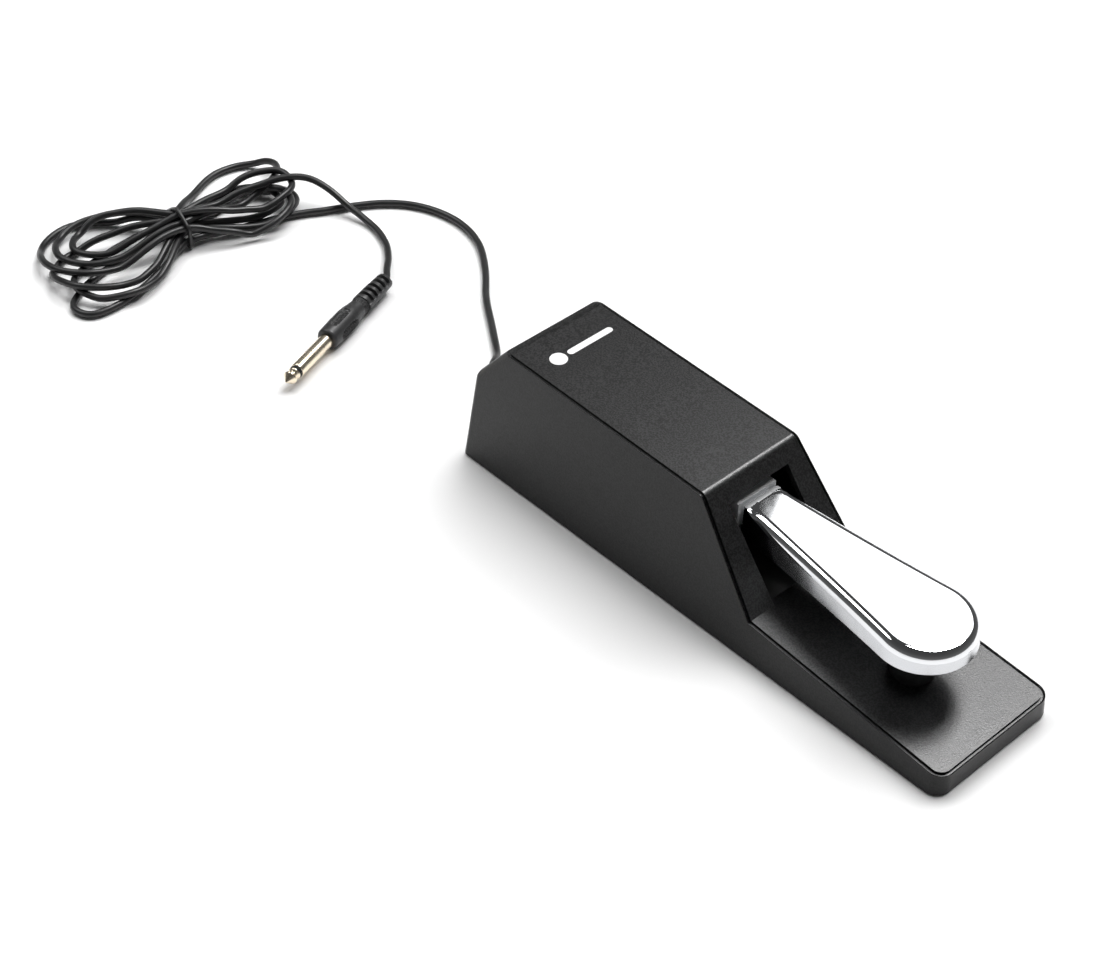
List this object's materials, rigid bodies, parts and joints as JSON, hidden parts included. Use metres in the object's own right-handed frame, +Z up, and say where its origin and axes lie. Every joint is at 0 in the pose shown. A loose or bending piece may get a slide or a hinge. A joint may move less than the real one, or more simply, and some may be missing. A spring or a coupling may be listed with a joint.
{
  "type": "sustain pedal",
  "caption": "Piano-style sustain pedal: chrome lever in a black wedge housing on a rubber-soled steel plate, with a tied cord and a jack plug.",
  "frame": {"origin": "middle of the footprint, on the floor", "axes": "+X towards the toe end, where the lever's tip is; +Z up; symmetric about Y = 0"},
  "size_m": [0.495, 0.1692, 0.0596],
  "materials": {
    "housing_plastic": "fine moulded grain, satin sides",
    "chrome": "mirror polished plating",
    "zinc_steel": "zinc plated",
    "nickel": "warm nickel plating",
    "rubber": "matt",
    "nylon": "natural nylon",
    "cord_pvc": "satin flexible PVC",
    "switch_plastic": "matt",
    "red_plastic": "gloss",
    "wire_red": "satin",
    "wire_white": "satin"
  },
  "bodies": {
    "base": {"upper_housing": "housing_plastic", "bottom_plate": "zinc_steel", "pivot_bracket": "zinc_steel", "pivot_pin": "zinc_steel", "pin_clip_left": "zinc_steel", "pin_clip_right": "zinc_steel", "return_spring": "zinc_steel", "bumper_screw": "zinc_steel", "switch_terminal_common": "zinc_steel", "switch_terminal_contact": "zinc_steel", "housing_screw_1": "zinc_steel", "housing_screw_2": "zinc_steel", "housing_screw_3": "zinc_steel", "housing_screw_4": "zinc_steel", "housing_screw_5": "zinc_steel", "housing_screw_6": "zinc_steel", "bracket_screw_1": "zinc_steel", "bracket_screw_2": "zinc_steel", "switch_screw_1": "zinc_steel", "switch_screw_2": "zinc_steel", "clamp_screw_1": "zinc_steel", "clamp_screw_2": "zinc_steel", "plug_tip": "nickel", "plug_sleeve": "nickel", "rubber_sole": "rubber", "rest_stop_pad": "rubber", "bumper": "rubber", "hank_tie": "rubber", "plug_insulator": "rubber", "spring_seat": "nylon", "cord_clamp": "nylon", "strain_relief": "cord_pvc", "cord_inner": "cord_pvc", "cord_run": "cord_pvc", "cord_tail": "cord_pvc", "cord_hank": "cord_pvc", "plug_body": "cord_pvc", "plug_boot": "cord_pvc", "switch_body": "switch_plastic", "lead_wire_common": "wire_red", "lead_wire_contact": "wire_white"},
    "lever": {"lever": "chrome", "lever_arm": "zinc_steel", "lever_screw_1": "zinc_steel", "lever_screw_2": "zinc_steel", "pivot_bush_left": "nylon", "pivot_bush_right": "nylon"},
    "plunger": {"switch_plunger": "red_plastic"}
  },
  "joints": [
    {"name": "lever_hinge", "type": "hinge", "parent": "base", "child": "lever", "pos_m": [-0.041, 0, 0.03], "axis": [0, 1, 0], "range_deg": [0, 5.15], "stiffness_Nm_per_rad": 3, "springref_deg": -8.59, "deforming": ["return_spring"]},
    {"name": "plunger_slide", "type": "slide", "parent": "base", "child": "plunger", "axis": [0, 0, -1], "range_m": [0, 0.0014]}
  ],
  "couplings": [
    {"joint": "plunger_slide", "follows": "lever_hinge", "m_per_rad": 0.0142}
  ]
}
